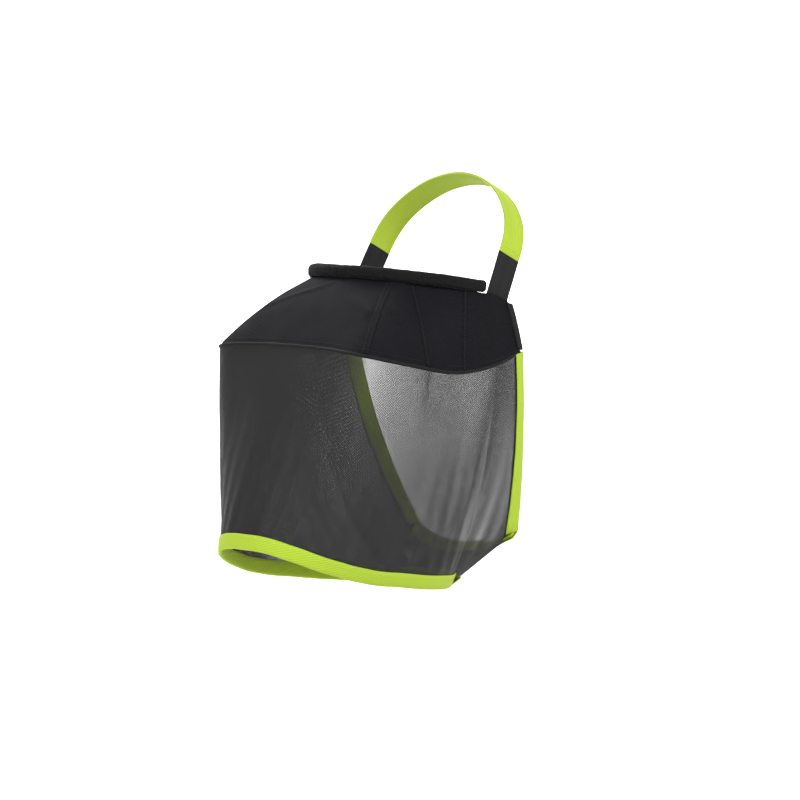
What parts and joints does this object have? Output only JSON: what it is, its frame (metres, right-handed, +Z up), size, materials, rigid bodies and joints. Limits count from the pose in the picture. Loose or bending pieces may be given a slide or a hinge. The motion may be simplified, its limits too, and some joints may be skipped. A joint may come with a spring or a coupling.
{
  "type": "horse fly mask",
  "caption": "Horse fly mask: shaped opaque yoke over the eyes, fine mesh skirt, padded brow band, bright bound edges, elastic poll strap and overlapping jaw flaps.",
  "frame": {"origin": "middle of the space that the head fills, on the middle plane at the level of the ridge over the eyes", "axes": "+X to the wearer's left, -Y to the front, +Z up, as worn"},
  "size_m": [0.2476, 0.2847, 0.3654],
  "materials": {
    "binding_lime": "ribbed lime binding",
    "elastic_black": "ribbed elastic",
    "fleece_black": "brushed fleece",
    "foam_grey": "soft foam",
    "hook_black": "hook tape",
    "loop_black": "brushed loop tape",
    "mesh_black": "fine open mesh",
    "tape_black": "woven tape, matt",
    "webbing_lime": "ribbed lime webbing",
    "yoke_black": "dense ribbed knit, matt"
  },
  "bodies": {
    "mask": {"brow_band_cover": "fleece_black", "brow_band_foam": "foam_grey", "cheek_binding_left": "binding_lime", "cheek_binding_right": "binding_lime", "cheek_mesh_left": "mesh_black", "cheek_mesh_right": "mesh_black", "elastic_tab_left": "tape_black", "elastic_tab_right": "tape_black", "face_mesh": "mesh_black", "jaw_mesh_left": "mesh_black", "jaw_mesh_right": "mesh_black", "nose_binding": "binding_lime", "ridge_piping": "tape_black", "temple_binding_left": "tape_black", "temple_binding_right": "tape_black", "yoke_centre_gore": "yoke_black", "yoke_eye_front_gore_left": "yoke_black", "yoke_eye_front_gore_right": "yoke_black", "yoke_eye_rear_gore_left": "yoke_black", "yoke_eye_rear_gore_right": "yoke_black", "yoke_seam_1_left": "tape_black", "yoke_seam_1_right": "tape_black", "yoke_seam_2_left": "tape_black", "yoke_seam_2_right": "tape_black", "yoke_seam_3_left": "tape_black", "yoke_seam_3_right": "tape_black", "yoke_temple_gore_left": "yoke_black", "yoke_temple_gore_right": "yoke_black"},
    "poll_elastics": {"poll_elastic_left": "elastic_black", "poll_elastic_right": "elastic_black"},
    "crown_strap": {"poll_strap": "webbing_lime"},
    "flap_left": {"flap_end_binding_left": "tape_black", "flap_nose_binding_left": "binding_lime", "flap_throat_binding_left": "binding_lime", "hook_tape": "hook_black", "jaw_flap_left": "mesh_black"},
    "flap_right": {"flap_end_binding_right": "tape_black", "flap_nose_binding_right": "binding_lime", "flap_throat_binding_right": "binding_lime", "jaw_flap_right": "mesh_black", "loop_tape": "loop_black"}
  },
  "joints": [
    {"name": "poll_strap_swing", "type": "hinge", "parent": "mask", "child": "poll_elastics", "pos_m": [0, 0.078, 0.045], "axis": [1, 0, 0], "range_deg": [-15, 75]},
    {"name": "poll_strap_stretch", "type": "slide", "parent": "poll_elastics", "child": "crown_strap", "axis": [0, 0.4493, 0.8934], "range_m": [0, 0.02], "stiffness_N_per_m": 250, "deforming": ["poll_elastic_left", "poll_elastic_right"]},
    {"name": "jaw_flap_left_open", "type": "hinge", "parent": "mask", "child": "flap_left", "pos_m": [0.05348, 0.09553, -0.18539], "axis": [-0.2901, -0.7544, -0.5888], "range_deg": [0, 100]},
    {"name": "jaw_flap_right_open", "type": "hinge", "parent": "mask", "child": "flap_right", "pos_m": [-0.05348, 0.09553, -0.18539], "axis": [-0.2901, 0.7544, 0.5888], "range_deg": [-60, 0]}
  ]
}
